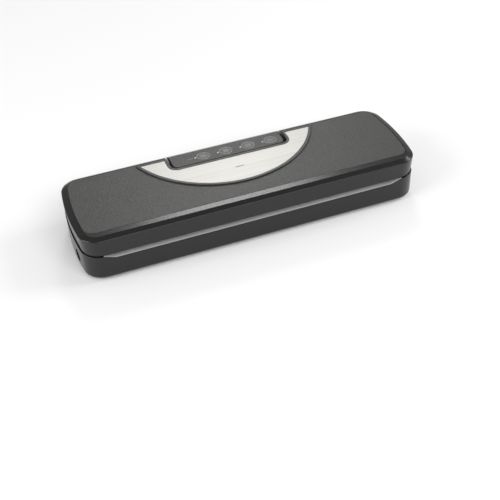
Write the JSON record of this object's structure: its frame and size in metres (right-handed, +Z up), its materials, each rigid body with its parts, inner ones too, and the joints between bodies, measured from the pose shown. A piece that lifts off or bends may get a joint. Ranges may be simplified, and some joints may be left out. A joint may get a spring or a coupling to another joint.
{
  "type": "vacuum packing machine",
  "caption": "Flat table-top vacuum packing machine with a hinged lid, a front bag mouth with seal bar, a brushed steel half-moon and a rear key pad.",
  "frame": {"origin": "on the table, under the middle of the machine's plan outline", "axes": "+X along the machine to the right end, -Y towards the bag mouth, +Z up"},
  "size_m": [0.38, 0.114, 0.056],
  "materials": {
    "dark_shell": "smooth dark grey moulding",
    "grained_panel": "fine pebble grain",
    "grey_trim": "satin",
    "brushed_steel": "brushed along X",
    "liner_plastic": "moulded",
    "black_foam": "soft foam",
    "silicone": "soft silicone",
    "aluminium": "extruded",
    "screw_steel": "plated",
    "brass": "turned",
    "foot_rubber": "rubber",
    "glass_cloth_tape": "woven glass cloth",
    "light_print": "raised ring",
    "light_lens": "clear lens",
    "key_plastic": "satin",
    "circuit_board": "laminate",
    "component_black": "moulded",
    "magnet_grey": "sintered",
    "copper": "enamelled wire"
  },
  "bodies": {
    "base": {"base_housing": "dark_shell", "base_plate": "dark_shell", "rubber_feet": "foot_rubber", "base_screws": "screw_steel", "base_deck": "liner_plastic", "vacuum_trough": "liner_plastic", "lower_gasket": "black_foam", "seal_bar": "aluminium", "heating_wires": "screw_steel", "wire_terminals": "brass", "seal_tape": "glass_cloth_tape", "base_hinge_knuckles": "dark_shell", "hinge_pins": "screw_steel", "control_pod": "dark_shell", "keypad_panel": "grained_panel", "key_surrounds": "light_print", "indicator_lights": "light_lens", "key_switches": "liner_plastic", "microswitch_bodies": "liner_plastic", "pump_motor_can": "screw_steel", "pump_bushes": "brass", "pump_motor_magnets": "magnet_grey", "pump_head": "liner_plastic", "pump_rod": "liner_plastic", "pump_diaphragm": "black_foam", "pump_valve_cap": "liner_plastic", "pump_mounts": "liner_plastic", "valve_frame": "screw_steel", "valve_coil": "copper", "valve_seat": "liner_plastic", "valve_spring": "screw_steel", "hose_port": "liner_plastic", "vacuum_hoses": "silicone", "circuit_boards": "circuit_board", "board_components": "component_black", "board_heat_sink": "aluminium", "transformer_core": "magnet_grey", "transformer_winding": "copper", "power_inlet": "liner_plastic", "inlet_pins": "brass"},
    "lid": {"lid_shell": "dark_shell", "lid_top_panel": "grained_panel", "half_moon_rim": "grey_trim", "half_moon_plate": "brushed_steel", "lid_liner": "liner_plastic", "upper_gasket": "black_foam", "pressure_strip": "silicone", "pressure_strip_holder": "aluminium", "liner_screws": "screw_steel", "lid_hinge_brackets": "screw_steel", "hinge_bushes": "brass"},
    "key_1": {"key_1": "key_plastic"},
    "key_2": {"key_2": "key_plastic"},
    "key_3": {"key_3": "key_plastic"},
    "key_4": {"key_4": "key_plastic"},
    "switch_plunger_left": {"switch_plunger_left": "key_plastic"},
    "switch_plunger_right": {"switch_plunger_right": "key_plastic"},
    "pump_shaft": {"pump_rotor": "magnet_grey", "pump_crankshaft": "screw_steel"},
    "valve_plunger": {"valve_plunger": "screw_steel"}
  },
  "joints": [
    {"name": "lid_hinge", "type": "hinge", "parent": "base", "child": "lid", "pos_m": [0, 0.049, 0.0404], "axis": [-1, 0, 0], "range_deg": [0, 65]},
    {"name": "key_1_press", "type": "slide", "parent": "base", "child": "key_1", "axis": [0, 0, -1], "range_m": [0, 0.0007], "stiffness_N_per_m": 500, "springref_m": -0.0005},
    {"name": "key_2_press", "type": "slide", "parent": "base", "child": "key_2", "axis": [0, 0, -1], "range_m": [0, 0.0007], "stiffness_N_per_m": 500, "springref_m": -0.0005},
    {"name": "key_3_press", "type": "slide", "parent": "base", "child": "key_3", "axis": [0, 0, -1], "range_m": [0, 0.0007], "stiffness_N_per_m": 500, "springref_m": -0.0005},
    {"name": "key_4_press", "type": "slide", "parent": "base", "child": "key_4", "axis": [0, 0, -1], "range_m": [0, 0.0007], "stiffness_N_per_m": 500, "springref_m": -0.0005},
    {"name": "switch_plunger_left_press", "type": "slide", "parent": "base", "child": "switch_plunger_left", "axis": [0, 0, -1], "range_m": [0, 0.0012], "stiffness_N_per_m": 200, "springref_m": -0.0005},
    {"name": "switch_plunger_right_press", "type": "slide", "parent": "base", "child": "switch_plunger_right", "axis": [0, 0, -1], "range_m": [0, 0.0012], "stiffness_N_per_m": 200, "springref_m": -0.0005},
    {"name": "valve_plunger_pull", "type": "slide", "parent": "base", "child": "valve_plunger", "axis": [0, 0, -1], "range_m": [0, 0.0015], "stiffness_N_per_m": 150, "springref_m": -0.001, "deforming": ["valve_spring"]},
    {"name": "pump_shaft_spin", "type": "hinge", "parent": "base", "child": "pump_shaft", "pos_m": [0, 0.0405, 0.021], "axis": [1, 0, 0], "continuous": true}
  ]
}
